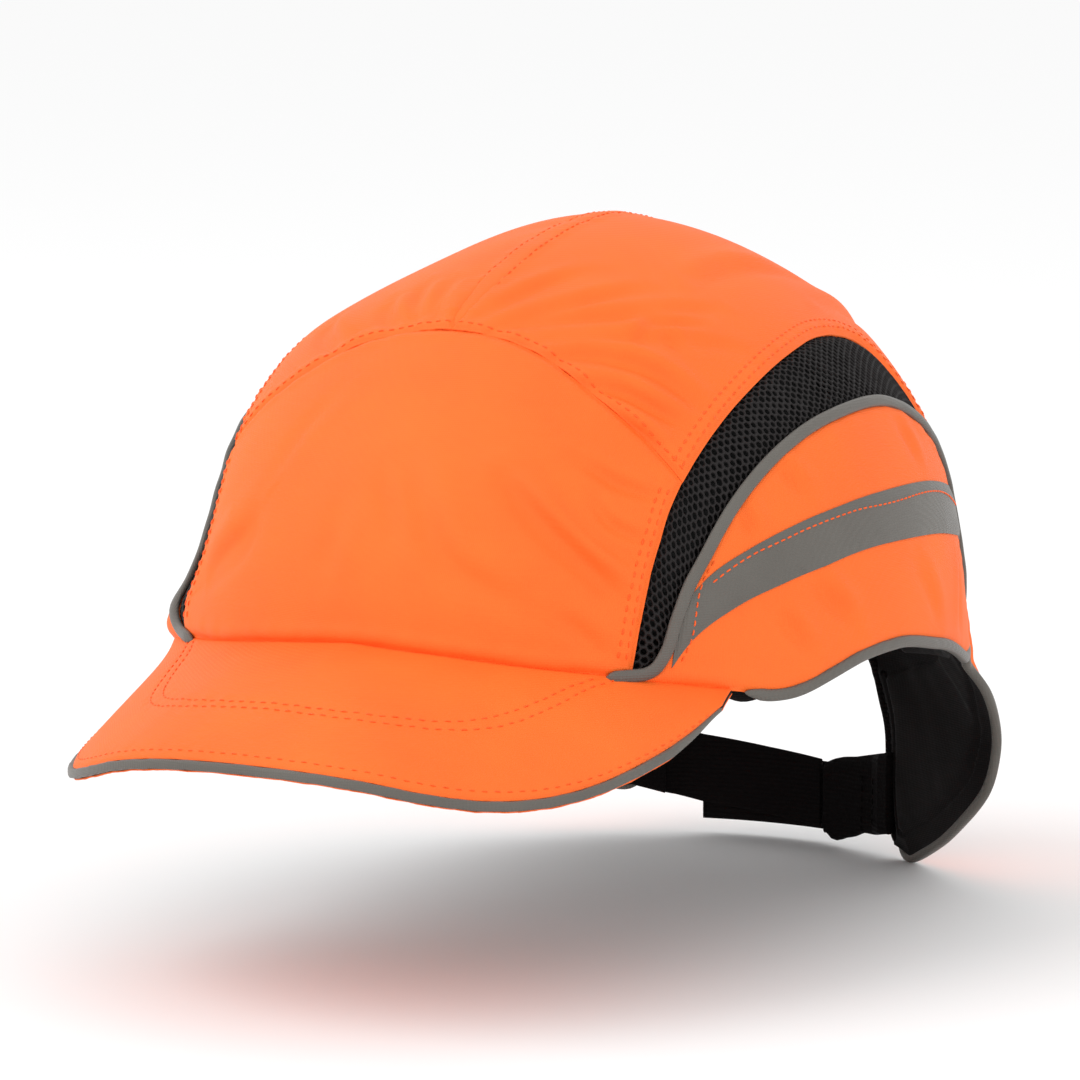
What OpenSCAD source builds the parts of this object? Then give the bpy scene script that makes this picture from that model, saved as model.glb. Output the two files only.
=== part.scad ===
// Bump cap: a peaked fabric cap over a thin hard shell, with mesh vents at the sides,
// reflective bands, a padded nape wing on each side and a touch fastened nape strap.
// Millimetres. The wearer faces -Y, +X is the wearer's left, +Z is up.
// The origin is the middle of the head opening, on the head band plane.

/* [Cap] */
// Outer width across the cap, at the head band
cap_w = 188; // [180:1:196]
// Head band centre to the forehead, outside
front_len = 108; // [102:1:112]
// Head band centre to the back of the head, outside
rear_len = 115; // [110:1:120]
// Head band plane to the top of the crown
crown_h = 114; // [108:1:120]
// Share of the left nape wing's drop that the right one keeps
right_drop = 0.82; // [0.75:0.01:1]

/* [Peak] */
// Half width of the peak
peak_half_w = 79; // [76:0.5:80]
// Head opening centre to the tip of the peak
peak_reach = 160.5; // [150:0.5:170]
// Thickness of the stiff core
peak_core_t = 2.2; // [1.6:0.1:3]

/* [Layers] */
// Thickness of the outer fabric with its backing
fabric_t = 1.0; // [0.6:0.1:1.2]
// Wall of the hard shell
shell_t = 2.0; // [1.5:0.1:2.2]
// Thickness of the foam pads
pad_t = 4.5; // [3:0.5:6]
// Radius of the reflective piping
piping_r = 1.2; // [0.9:0.1:1.4]

/* [Nape strap] */
// Height of the webbing
strap_h = 18.2; // [16:0.1:22]
// Thickness of the webbing
strap_t = 1.2; // [1:0.1:1.4]

/* [View] */
// Which piece to draw

/* [Hidden] */

ORANGE = [1.0, 0.35, 0.08];
GREY = [0.38, 0.37, 0.35];
BLACK = [0.07, 0.07, 0.07];
SHELL = [0.16, 0.17, 0.18];
FOAM = [0.3, 0.3, 0.32];

// The dome is a superellipsoid: its rings shrink as cos^1.16 and rise as sin^0.77.
RING_POW = 1.16;
RISE_POW = 0.77;
TOP_SHIFT = 14;
SKIRT = 100;
SIDE_FRONT = -53;

// ---- the surface map ----
// A point of the cap is a plan point: its angle is the bearing (-90 front, 0 left, 90 rear)
// and its radius falls from 1 at the head band plane to 0 at the top. Below the plane it grows.
function height_angle(z) = asin(pow(min(z / 114, 1), 1 / RISE_POW));
function ring(z) = z >= 0 ? 1 - height_angle(z) / 90 : 1 - z / SKIRT;
function plan(p) = let (r = ring(p[1])) [r * cos(p[0]), r * sin(p[0]), len(p) > 2 ? p[2] : 0];
function plans(list) = [for (p = list) plan(p)];

function tall(q) = 90 * max(0, 1 - norm([q[0], q[1]]));
function bearing(q) = atan2(q[1], q[0]);
function half_len(a) = sin(a) < 0 ? front_len : rear_len;
function unit(v) = v / max(norm(v), 0.000001);
function outward(q) =
    let (a = bearing(q), h = tall(q), k = 0.663 * pow(cos(h), 0.84))
    unit([k * cos(a) * 2 / cap_w, k * sin(a) / half_len(a), pow(sin(h), 1.23) / crown_h]);
function on_cap(q, off) =
    let (a = bearing(q), h = tall(q), r = norm([q[0], q[1]]), f = pow(cos(h), RING_POW))
    [
        cap_w / 2 * cos(a) * f,
        half_len(a) * sin(a) * f + TOP_SHIFT * (1 - f),
        r < 1 ? crown_h * pow(sin(h), RISE_POW) : (1 - r) * SKIRT
    ] + (off + q[2]) * outward(q);
function sided(p, side) = side > 0 ? p : [-p[0], p[1], p[2] < 0 ? p[2] * right_drop : p[2]];

// ---- curves ----
function along(c, t) =
    let (n = len(c) - 1, x = t * n, i = min(floor(x), n - 1), f = x - i)
    let (a = c[max(i - 1, 0)], b = c[i], d = c[i + 1], e = c[min(i + 2, n)])
    0.5 * (2 * b + (d - a) * f + (2 * a - 5 * b + 4 * d - e) * f * f
        + (3 * b - a - 3 * d + e) * f * f * f);
function stretch(c, a, b, n = 16) = [for (i = [0:n]) along(c, a + (b - a) * i / n)];
function flip(c) = [for (i = [len(c) - 1:-1:0]) [-c[i][0], c[i][1], c[i][2]]];
function back_to_front(c) = [for (i = [len(c) - 1:-1:0]) c[i]];
function mix(a, b, t) = a * (1 - t) + b * t;

// Four curves spanned by a smooth net: low and high run with u, start and end run with v.
function net(low, high, start, end, u, v) =
    mix(along(low, u), along(high, u), v) + mix(along(start, v), along(end, v), u)
    - mix(mix(low[0], low[len(low) - 1], u), mix(high[0], high[len(high) - 1], u), v);

// ---- solids ----
// A closed sheet between two grids of nu by nv cells, given as one list of points.
module sheet(top, bottom, nu, nv, side) {
    w = nv + 1;
    n = (nu + 1) * w;
    up = [for (i = [0:nu - 1], j = [0:nv - 1]) let (a = i * w + j)
        each [[a, a + 1, a + w + 1], [a, a + w + 1, a + w]]];
    down = [for (f = up) [f[0] + n, f[2] + n, f[1] + n]];
    rim = concat(
        [for (j = [0:nv - 1]) [j + 1, j]],
        [for (j = [0:nv - 1]) [nu * w + j, nu * w + j + 1]],
        [for (i = [0:nu - 1]) [i * w, i * w + w]],
        [for (i = [0:nu - 1]) [i * w + w + nv, i * w + nv]]
    );
    wall = [for (e = rim) each [[e[0], e[1], e[1] + n], [e[0], e[1] + n, e[0] + n]]];
    faces = concat(up, down, wall);
    polyhedron(
        concat(top, bottom),
        side > 0 ? faces : [for (f = faces) [f[0], f[2], f[1]]],
        convexity = 10
    );
}

// A sewn panel: a net over the cap, inset at its seams, from one offset down to another.
module panel(low, high, start, end, nu, nv, outer, inner, side = 1, inset = [0.006, 0.012]) {
    function q(i, j) = net(low, high, start, end,
        mix(inset[0], 1 - inset[0], i / nu), mix(inset[1], 1 - inset[1], j / nv));
    sheet(
        [for (i = [0:nu], j = [0:nv]) sided(on_cap(q(i, j), outer), side)],
        [for (i = [0:nu], j = [0:nv]) sided(on_cap(q(i, j), inner), side)],
        nu, nv, side
    );
}

// A straight sided panel between two curves.
module strip(low, high, nu, nv, outer, inner, side = 1, inset = [0, 0]) {
    panel(low, high, [low[0], high[0]], [low[len(low) - 1], high[len(high) - 1]],
        nu, nv, outer, inner, side, inset);
}

// A round cord through points, each given with two directions across it.
module cord(frames, r, sides = 6) {
    n = len(frames);
    points = [for (f = frames, k = [0:sides - 1])
        f[0] + r * cos(k * 360 / sides) * f[1] + r * sin(k * 360 / sides) * f[2]];
    skin = [for (i = [0:n - 2], k = [0:sides - 1])
        let (a = i * sides + k, b = i * sides + (k + 1) % sides)
        each [[a, b, b + sides], [a, b + sides, a + sides]]];
    ends = [for (k = [1:sides - 2]) each [
        [0, k + 1, k],
        [(n - 1) * sides, (n - 1) * sides + k, (n - 1) * sides + k + 1]
    ]];
    polyhedron(points, concat(skin, ends), convexity = 10);
}
function frames(points, normals, shift) =
    [for (i = [0:len(points) - 1])
        let (t = unit(points[min(i + 1, len(points) - 1)] - points[max(i - 1, 0)]))
        let (b = unit(cross(t, normals[i])), n = cross(b, t))
        [points[i] + shift[0] * b + shift[1] * n, b, n]];
function side_normal(q, side) = let (n = outward(q)) side > 0 ? n : [-n[0], n[1], n[2]];
function seam_frames(c, n, side, shift) = let (q = stretch(c, 0, 1, n))
    let (p = [for (x = q) sided(on_cap(x, 0), side)], m = [for (x = q) side_normal(x, side)])
    side > 0 ? frames(p, m, shift)
        : frames([for (i = [n:-1:0]) p[i]], [for (i = [n:-1:0]) m[i]], shift);

// ---- seam lines, left half ----
// Outer edge of the mesh vent, from the brim seam over the top and down behind the ear
MESH_EDGE = plans([[-49.2, 16], [-48.2, 25], [-46.8, 36], [-44.8, 46], [-42.4, 55],
    [-38.6, 63], [-32.4, 71.5], [-22.5, 79.5], [-9, 85.3], [7, 87.5], [22, 83],
    [27.5, 71], [32, 58], [35.5, 45]]);
// Top edge of the side panel, which carries the long piping
FIN_EDGE = plans([[SIDE_FRONT, 15.2], [-47.2, 16], [-44.6, 20.5], [-43, 28], [-41, 35.5],
    [-38.4, 42], [-33.6, 52], [-26.5, 61], [-17, 67.6], [-5, 71], [9, 71], [20, 66],
    [29, 57.5], [34, 46]]);
// Edge of the side panel behind the ear, down to the top of the wing
FIN_BACK = plans([[34, 46], [34.6, 36], [35, 24]]);
// Lower edge of the side panel, over the ear
HEM = plans([[SIDE_FRONT, 14.3], [-46, 13], [-39, 11.6], [-33, 10], [-28.5, 8.8],
    [-24, 9.3], [-19, 11.8], [-13, 14.8], [-4, 16.3], [8, 13], [22, 5.5], [35, 0]]);
// Front edge of the nape wing, flared away from the neck
WING_FRONT = plans([[35.4, 0, 0], [37, -8, 4.2], [39.3, -17, 7], [40.3, -25, 7.6],
    [40.5, -34, 6], [43.5, -43, 3], [51, -51.5, 0.6], [61, -57.8, 0]]);
// Top of the wing, then down the side of the rear opening
WING_BACK = plans([[35.6, 24], [41, 13], [49, 5], [58, -1], [65.5, -5], [72.2, -9.5],
    [70, -18.5], [68.3, -27], [67.8, -41], [66.2, -56.5]]);
// Stitched arch between the front panel and the crown
ARCH = plans([[-90, 92], [-78, 91], [-66, 87.2], [-54.5, 78.5], [-46.5, 69.5], [-40.6, 59]]);
// Seam between the cap and the peak
BROW = plans([[-90, 21.6], [-77, 20.2], [-64, 17.6], [-54, 16], [-49.2, 16]]);
ARCH_AT = 4.5 / 13;
REAR_TOP = plan([90, 10]);
REAR_ARCH = plans([[72.2, -9.5], [78.5, -1], [84, 6], [90, 10]]);

// Lower edge of the head band at an angle round from the middle of the forehead
function band_low(d) = lookup(abs(d), [[0, 21.5], [13, 20], [26, 17.6], [36, 15.5], [47, 12.6],
    [57, 9.5], [62, 8], [66, 9], [71, 12], [77, 14.8], [86, 16.2], [98, 13], [112, 5],
    [125, 0], [150, -5]]);

// ---- fabric panels ----
module front_panel() color(ORANGE)
    panel(
        concat(flip(BROW), [for (i = [1:len(BROW) - 1]) BROW[i]]),
        concat(flip(ARCH), [for (i = [1:len(ARCH) - 1]) ARCH[i]]),
        flip(back_to_front(stretch(MESH_EDGE, 0, ARCH_AT, 6))),
        stretch(MESH_EDGE, 0, ARCH_AT, 6),
        26, 9, 0, -fabric_t, 1, [0.004, 0.008]
    );

module crown_panel(side) color(ORANGE) {
    edge = concat(stretch(MESH_EDGE, ARCH_AT, 1, 14), [FIN_BACK[1]], [WING_BACK[0]],
        [WING_BACK[1]], [WING_BACK[2]], [WING_BACK[3]], [WING_BACK[4]], [WING_BACK[5]]);
    panel(edge, [ARCH[0], REAR_TOP], back_to_front(ARCH), REAR_ARCH,
        30, 12, 0, -fabric_t, side, [0.008, 0.012]);
}

module crown_seam_tape() color(ORANGE) {
    y0 = ARCH[0][1] + 0.005;
    y1 = REAR_TOP[1] - 0.02;
    strip([[0.032, y0, 0], [0.032, y1, 0]], [[-0.032, y0, 0], [-0.032, y1, 0]],
        28, 2, 0.7, 0.2);
}

module mesh_vent(side) color(BLACK) {
    low = concat([FIN_EDGE[1]], stretch(FIN_EDGE, 2 / 13, 1, 11), [FIN_BACK[1]]);
    strip(low, MESH_EDGE, 26, 4, -0.1, -0.8, side, [0.02, 0.05]);
}

module side_panel(side) color(ORANGE)
    panel(HEM, FIN_EDGE, [HEM[0], FIN_EDGE[0]], concat([HEM[11]], back_to_front(FIN_BACK)),
        28, 8, 0, -fabric_t, side, [0.004, 0.005]);

module reflective_band(side) color(GREY) {
    low = plans([[-43.5, 18], [-40, 24.5], [-33.5, 30.5], [-25, 35], [-15.5, 38.3],
        [-2, 40], [10, 39], [22, 36], [32.5, 32]]);
    high = plans([[-41.3, 31], [-37, 37.5], [-30.5, 43.5], [-22, 47.8], [-12, 50.7],
        [0, 52], [12, 51.3], [23, 48.5], [31.6, 44.5]]);
    strip(low, high, 20, 2, 0.6, 0.15, side);
}

module fin_piping(side) color(GREY)
    cord(seam_frames(concat(FIN_EDGE, [FIN_BACK[1]], [for (i = [0:4]) WING_BACK[i]]),
        44, side, [0, piping_r + 0.15]), piping_r);

module hem_piping(side) color(GREY)
    cord(seam_frames(concat([for (i = [3:10]) HEM[i]], WING_FRONT),
        44, side, [piping_r + 0.1, -0.5]), piping_r);

// ---- nape wings ----
module nape_wing(side) color(ORANGE)
    panel(WING_FRONT, WING_BACK, [WING_FRONT[0], WING_BACK[0]], [WING_FRONT[7], WING_BACK[9]],
        22, 9, 0, -fabric_t, side, [0.008, 0.006]);

module wing_lining(side) color(BLACK)
    panel(WING_FRONT, WING_BACK, [WING_FRONT[0], WING_BACK[0]], [WING_FRONT[7], WING_BACK[9]],
        20, 8, -fabric_t - 0.2, -fabric_t - 3.6, side, [0.02, 0.024]);

module rear_binding() color(BLACK) {
    half = concat([for (i = [9:-1:6]) WING_BACK[i]], REAR_ARCH);
    q = stretch(half, 0, 1, 20);
    left = [for (x = q) on_cap(x, -fabric_t / 2)];
    right = [for (i = [19:-1:0]) sided(left[i], -1)];
    m = [for (x = q) outward(x)];
    n = concat(m, [for (i = [19:-1:0]) [-m[i][0], m[i][1], m[i][2]]]);
    cord(frames(concat(left, right), n, [-piping_r - 0.15, 0]), piping_r);
}

// ---- peak ----
PEAK_DROP = [3.2, 2.6, 0.9, -1.8, -3.9, -4.4, -3, 0.4, 5, 10.8];
// The right side of the peak hangs a little lower
PEAK_TWIST = 4;
function peak_edge(u) =
    let (t = 86 * abs(u), s = u < 0 ? -1 : 1)
    [
        s * peak_half_w * pow(sin(t), 0.8),
        -58 - (peak_reach - 58) * pow(cos(t), 0.8),
        along([for (z = PEAK_DROP) [z]], t / 90)[0]
    ];
function peak_root(u) =
    let (a = -90 + 55.5 * u, d = abs(55.5 * u))
    on_cap(plan([a, band_low(d) + 1.2]), 0.4);
function peak_at(u, v, down) =
    mix(peak_root(u), peak_edge(u), v)
    + [0, 0, 9 * v * (1 - v) * (1 - 0.9 * u * u) - down - PEAK_TWIST * v * pow(max(0, -u), 1.5)];
module peak_layer(down, thick, start, end) {
    sheet(
        [for (i = [0:28], j = [0:9]) peak_at(i / 14 - 1, mix(start, end, j / 9), down)],
        [for (i = [0:28], j = [0:9]) peak_at(i / 14 - 1, mix(start, end, j / 9), down + thick)],
        28, 9, 1
    );
}
module peak_core() color(BLACK) peak_layer(1.0, peak_core_t, 0.01, 0.985);
module peak_top_cover() color(ORANGE) peak_layer(0, 0.8, 0, 1);
module peak_under_cover() color(ORANGE) peak_layer(peak_core_t + 1.2, 0.8, 0.01, 1);
module peak_piping() color(GREY) {
    p = [for (i = [0:48]) peak_at(i / 24 - 1, 1, 2.2)];
    n = [for (i = [0:48]) [0, 0, 1]];
    cord(frames(p, n, [piping_r + 0.3, 0]), piping_r);
}

// ---- hard shell, pads and head band ----
// Lower edge of the shell at an angle round from the middle of the forehead
function shell_low(d) = lookup(d, [[0, 31], [26, 27], [47, 22], [62, 17], [71, 21], [86, 25],
    [98, 23], [112, 26], [122, 30], [132, 27], [142, 19], [152, 15], [180, 14]]);
SHELL_T = 48;
SHELL_R = 12;
function shell_slot(i, j) = let (s = min(i, SHELL_T - i))
    (j == 3 || j == 4) && (s == 11 || s == 13 || s == 15) || (j == 7 && (s == 4 || s == 20));
module hard_shell() {
    n = SHELL_T * SHELL_R;
    function q(i, j) = let (d = i * 360 / SHELL_T, e = d > 180 ? 360 - d : d)
        let (a = -90 + d, r = ring(shell_low(e)))
        let (s = mix(r, 0.07, j / (SHELL_R - 1))) [s * cos(a), s * sin(a), 0];
    out = -fabric_t - 0.8;
    top = [for (j = [0:SHELL_R - 1], i = [0:SHELL_T - 1]) on_cap(q(i, j), out)];
    low = [for (j = [0:SHELL_R - 1], i = [0:SHELL_T - 1]) on_cap(q(i, j), out - shell_t)];
    poles = [on_cap([0, 0.0001, 0], out), on_cap([0, 0.0001, 0], out - shell_t)];
    function id(i, j) = j * SHELL_T + (i + SHELL_T) % SHELL_T;
    cells = [for (j = [0:SHELL_R - 2], i = [0:SHELL_T - 1]) if (!shell_slot(i, j))
        [id(i, j), id(i, j + 1), id(i + 1, j + 1), id(i + 1, j)]];
    fan = [for (i = [0:SHELL_T - 1]) [id(i, SHELL_R - 1), 2 * n, id(i + 1, SHELL_R - 1)]];
    skin = concat([for (c = cells) each [[c[0], c[1], c[2]], [c[0], c[2], c[3]]]], fan);
    inner = [for (f = skin) [for (k = [0, 2, 1]) f[k] == 2 * n ? 2 * n + 1 : f[k] + n]];
    holes = [for (j = [0:SHELL_R - 2], i = [0:SHELL_T - 1]) if (shell_slot(i, j)) each concat(
        shell_slot(i - 1, j) ? [] : [[id(i, j + 1), id(i, j)]],
        shell_slot(i + 1, j) ? [] : [[id(i + 1, j), id(i + 1, j + 1)]],
        shell_slot(i, j - 1) ? [] : [[id(i, j), id(i + 1, j)]],
        shell_slot(i, j + 1) ? [] : [[id(i + 1, j + 1), id(i, j + 1)]])];
    edges = concat(holes, [for (i = [0:SHELL_T - 1]) [id(i + 1, 0), id(i, 0)]]);
    wall = [for (e = edges) each [[e[1], e[0], e[0] + n], [e[1], e[0] + n, e[1] + n]]];
    color(SHELL) polyhedron(concat(top, low, poles), concat(skin, inner, wall), convexity = 10);
}

module pad(a0, a1, z0, z1) color(FOAM) {
    top = -fabric_t - 0.8 - shell_t - 0.9;
    low = plans([for (i = [0:6]) [mix(a0, a1, i / 6), z0]]);
    high = plans([for (i = [0:6]) [mix(a0, a1, i / 6), z1]]);
    strip(low, high, 10, 5, top, top - pad_t);
}
module pad_crown() color(FOAM) {
    top = -fabric_t - 0.8 - shell_t - 0.9;
    strip([[0.2, -0.24, 0], [0.24, 0, 0], [0.2, 0.24, 0]],
        [[-0.2, -0.24, 0], [-0.24, 0, 0], [-0.2, 0.24, 0]], 10, 8, top, top - pad_t);
}
module sweatband() color(BLACK) {
    low = [for (i = [-20:20]) plan([-90 + 7.5 * i, band_low(7.5 * i) + 1])];
    high = [for (i = [-20:20]) plan([-90 + 7.5 * i, band_low(7.5 * i) + 27])];
    top = -fabric_t - 0.8 - shell_t - 1.2;
    strip(low, high, 60, 4, top, top - 2);
}

// ---- nape strap ----
STRAP_ROOT = 82.6;
STRAP_END = 104.8;
INNER_ROOT = 110;
// Lower edges of the three lengths of webbing, by bearing
function outer_low(a) = mix(-56.8, -56.4, (a - 82) / 23);
function inner_low(a) = lookup(a, [[81, -56], [93, -53.8], [104.5, -51.3], [110, -49.2], [116, -46.4]]);
function stub_low(a) = lookup(a, [[66, -53.4], [69.5, -54.6], [76, -57], [82, -58.2]]);
function outer_line(a0, a1, up) = [for (i = [0:8]) let (a = mix(a0, a1, i / 8)) [a, outer_low(a) + up]];
function inner_line(a0, a1, up) = [for (i = [0:8]) let (a = mix(a0, a1, i / 8)) [a, inner_low(a) + up]];
function stub_line(a0, a1, up) = [for (i = [0:8]) let (a = mix(a0, a1, i / 8)) [a, stub_low(a) + up]];
module webbing(line, h, outer, thick, n = 12)
    strip(plans(line), plans([for (p = line) [p[0], p[1] + h]]), n, 3, outer, outer - thick);
module strap_stub_left() color(BLACK) {
    webbing(stub_line(64, 70.2, 0), strap_h + 2, -5.2, 1.6, 5);
    webbing(stub_line(70.2, STRAP_ROOT - 1.1, 0), strap_h + 2, 0, 3.2, 8);
}
module strap_stub_right() color(BLACK)
    webbing(inner_line(INNER_ROOT + 1.2, 117, 0), strap_h, -5.2, 1.6, 5);
module strap_outer() color(BLACK)
    webbing(outer_line(STRAP_ROOT, STRAP_END, 0), strap_h, 2.6, strap_t);
module hook_patch() color(BLACK)
    webbing(outer_line(88, STRAP_END - 0.8, 1), strap_h - 2, 2.5 - strap_t, 0.8);
module strap_inner() color(BLACK)
    webbing(inner_line(STRAP_ROOT, INNER_ROOT, 0), strap_h, -0.6, strap_t);
module pile_patch() color(BLACK)
    webbing(inner_line(84, 104, 1), strap_h - 2, 0.15, 0.65);

front_panel();
crown_panel(1);  // crown_panel_left
crown_panel(-1);  // crown_panel_right
crown_seam_tape();
mesh_vent(1);  // mesh_vent_left
mesh_vent(-1);  // mesh_vent_right
side_panel(1);  // side_panel_left
side_panel(-1);  // side_panel_right
reflective_band(1);  // reflective_band_left
reflective_band(-1);  // reflective_band_right
fin_piping(1);  // fin_piping_left
fin_piping(-1);  // fin_piping_right
hem_piping(1);  // hem_piping_left
hem_piping(-1);  // hem_piping_right
nape_wing(1);  // nape_wing_left
nape_wing(-1);  // nape_wing_right
wing_lining(1);  // wing_lining_left
wing_lining(-1);  // wing_lining_right
rear_binding();
peak_core();
peak_top_cover();
peak_under_cover();
peak_piping();
hard_shell();
pad(-114, -66, 50, 72);  // pad_front
pad_crown();
pad(-18, 26, 50, 70);  // pad_left
pad(154, 198, 50, 70);  // pad_right
pad(68, 112, 44, 68);  // pad_rear
sweatband();
strap_stub_left();
strap_stub_right();
strap_outer();
hook_patch();
strap_inner();
pile_patch();
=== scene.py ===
"""Bump cap: the fabric, mesh, piping, stitching, peak, wings and strap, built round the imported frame."""

import bmesh
import bpy
import numpy as np
from mathutils import Matrix, Vector
from mathutils.bvhtree import BVHTree


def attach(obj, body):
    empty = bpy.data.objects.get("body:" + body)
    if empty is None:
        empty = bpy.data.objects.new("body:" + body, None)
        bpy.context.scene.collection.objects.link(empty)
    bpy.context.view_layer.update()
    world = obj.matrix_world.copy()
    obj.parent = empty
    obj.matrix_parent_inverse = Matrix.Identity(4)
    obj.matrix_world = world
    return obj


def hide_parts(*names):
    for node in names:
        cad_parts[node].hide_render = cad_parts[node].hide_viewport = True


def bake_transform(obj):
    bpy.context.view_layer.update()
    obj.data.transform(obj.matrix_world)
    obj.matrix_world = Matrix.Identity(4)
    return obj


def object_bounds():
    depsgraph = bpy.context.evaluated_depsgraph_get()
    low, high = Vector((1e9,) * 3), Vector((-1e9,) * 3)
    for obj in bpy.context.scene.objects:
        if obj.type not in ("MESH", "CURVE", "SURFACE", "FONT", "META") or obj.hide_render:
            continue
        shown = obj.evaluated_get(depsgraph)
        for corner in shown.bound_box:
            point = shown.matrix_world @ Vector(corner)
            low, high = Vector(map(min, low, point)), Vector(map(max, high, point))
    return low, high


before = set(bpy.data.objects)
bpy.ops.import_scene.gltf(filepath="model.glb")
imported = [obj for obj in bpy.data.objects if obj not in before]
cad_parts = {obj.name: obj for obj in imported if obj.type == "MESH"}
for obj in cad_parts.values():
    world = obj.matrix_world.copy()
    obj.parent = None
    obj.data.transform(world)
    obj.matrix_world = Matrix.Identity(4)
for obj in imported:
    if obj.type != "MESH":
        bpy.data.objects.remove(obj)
CAD_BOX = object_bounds()

# ---------------------------------------------------------------- the cap's surface, millimetres
HALF_W, FRONT, REAR, CROWN = 94.0, 108.0, 115.0, 114.0
RING_POW, RISE_POW, TOP_SHIFT, SKIRT = 1.16, 0.77, 14.0, 100.0
RIGHT_DROP = 0.8
# Where the soft fabric has slumped: bearing, height, spread in degrees, spread in height, depth
SLUMPS = [(-148, 40, 20, 21, 4.7), (-143, 15, 9, 7.5, -3.2), (-152, 84, 12, 7, -0.7), (-150, 64, 16, 8, -0.3),
          (-150, 99, 30, 10, 1.2), (-172, 105, 40, 8, 1.2), (46, 32, 24, 30, 1.8), (58, 91, 24, 10, -0.4),
          (10, 101, 40, 9, 1.0)]


def ring(z):
    z = np.asarray(z, float)
    up = 1 - np.degrees(np.arcsin(np.clip(z / CROWN, 0, 1) ** (1 / RISE_POW))) / 90
    return np.where(z >= 0, up, 1 - z / SKIRT)


def plan(points):
    """Bearing and height, with an optional flare, to plan points."""
    p = np.array([list(x) + [0] * (3 - len(x)) for x in points], float)
    r, a = ring(p[:, 1]), np.radians(p[:, 0])
    return np.stack([r * np.cos(a), r * np.sin(a), p[:, 2]], -1)


def _parts(q):
    a = np.arctan2(q[..., 1], q[..., 0])
    r = np.hypot(q[..., 0], q[..., 1])
    h = np.radians(90 * np.clip(1 - r, 0, 1))
    return a, r, h, np.where(np.sin(a) < 0, FRONT, REAR)


def outward(q):
    a, r, h, b = _parts(q)
    k = 0.663 * np.cos(h) ** 0.84
    return unit(np.stack([k * np.cos(a) / HALF_W, k * np.sin(a) / b, np.sin(h) ** 1.23 / CROWN], -1))


def unit(v):
    return v / np.maximum(np.linalg.norm(v, axis=-1, keepdims=True), 1e-9)


def on_cap(q, off=0.0):
    a, r, h, b = _parts(q)
    f = np.cos(h) ** RING_POW
    z = np.where(r < 1, CROWN * np.sin(h) ** RISE_POW, (1 - r) * SKIRT)
    p = np.stack([HALF_W * np.cos(a) * f, b * np.sin(a) * f + TOP_SHIFT * (1 - f), z], -1)
    return p + (np.asarray(off) + q[..., 2])[..., None] * outward(q)


def to_plan(p):
    """The plan point under a point on the cap."""
    r = ring(p[..., 2])
    f = np.maximum(np.cos(np.radians(90 * np.clip(1 - r, 0, 1))) ** RING_POW, 1e-6)
    y = (p[..., 1] - TOP_SHIFT * (1 - f)) / f
    a = np.arctan2(y / np.where(y < 0, FRONT, REAR), p[..., 0] / f / HALF_W)
    return np.stack([r * np.cos(a), r * np.sin(a), 0 * r], -1)


def mirrored(p, side):
    """The right half is the left one's mirror image, with its wing hanging a little higher."""
    if side > 0:
        return p
    p = p * [-1, 1, 1]
    p[..., 2] = np.where(p[..., 2] < 0, p[..., 2] * RIGHT_DROP, p[..., 2])
    return p


def settled(p):
    """The point after the soft cap has slumped."""
    p = np.array(p, float)
    a = np.degrees(np.arctan2(p[..., 1], p[..., 0]))
    turn = np.radians(-9 * bell(a + 137, 13) * bell(p[..., 2] - 22, 9))
    x = p[..., 0] * np.cos(turn) - p[..., 1] * np.sin(turn)
    y = p[..., 0] * np.sin(turn) + p[..., 1] * np.cos(turn)
    p, a, depth = np.stack([x, y, p[..., 2]], -1), a + np.degrees(turn), 0
    for bearing, z, wide, tall, deep in SLUMPS:
        d = (a - bearing + 180) % 360 - 180
        depth = depth + deep * np.exp(-((d / wide) ** 2) - ((p[..., 2] - z) / tall) ** 2)
    away = unit(p * [1, 1, 0] / [HALF_W**2, FRONT**2, 1] + p * [0, 0, 1] * (p[..., 2:] > 0) / CROWN**2)
    return p - away * np.asarray(depth)[..., None]


# ---------------------------------------------------------------- curves
def along(c, t):
    """A smooth curve through the points c, at t from 0 to 1."""
    c, t = np.asarray(c, float), np.asarray(t, float)
    n = len(c) - 1
    x = np.clip(t, 0, 1) * n
    i = np.minimum(np.floor(x).astype(int), n - 1)
    f = (x - i)[..., None]
    a, b, d, e = c[np.maximum(i - 1, 0)], c[i], c[i + 1], c[np.minimum(i + 2, n)]
    return 0.5 * (2 * b + (d - a) * f + (2 * a - 5 * b + 4 * d - e) * f**2 + (3 * b - a - 3 * d + e) * f**3)


def stretch(c, a=0.0, b=1.0, n=16):
    return along(c, np.linspace(a, b, n + 1))


def flip(c):
    return c[::-1] * [-1, 1, 1]


def net(low, high, start, end, u, v):
    """The smooth surface spanned by four curves."""
    u, v = np.broadcast_arrays(np.asarray(u, float), np.asarray(v, float))
    w, s = u[..., None], v[..., None]
    ruled = along(low, u) * (1 - s) + along(high, u) * s
    cross = along(start, v) * (1 - w) + along(end, v) * w
    corners = (low[0] * (1 - w) + low[-1] * w) * (1 - s) + (high[0] * (1 - w) + high[-1] * w) * s
    return ruled + cross - corners


def lengths(points):
    return np.r_[0, np.cumsum(np.linalg.norm(np.diff(points, axis=0), axis=1))]


def evened(points, step):
    """Points the given distance apart along a line of points, and how far along they are."""
    d = lengths(points)
    s = np.linspace(0, d[-1], max(3, int(round(d[-1] / step)) + 1))
    return np.stack([np.interp(s, d, points[:, k]) for k in range(points.shape[1])], -1), s


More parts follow.
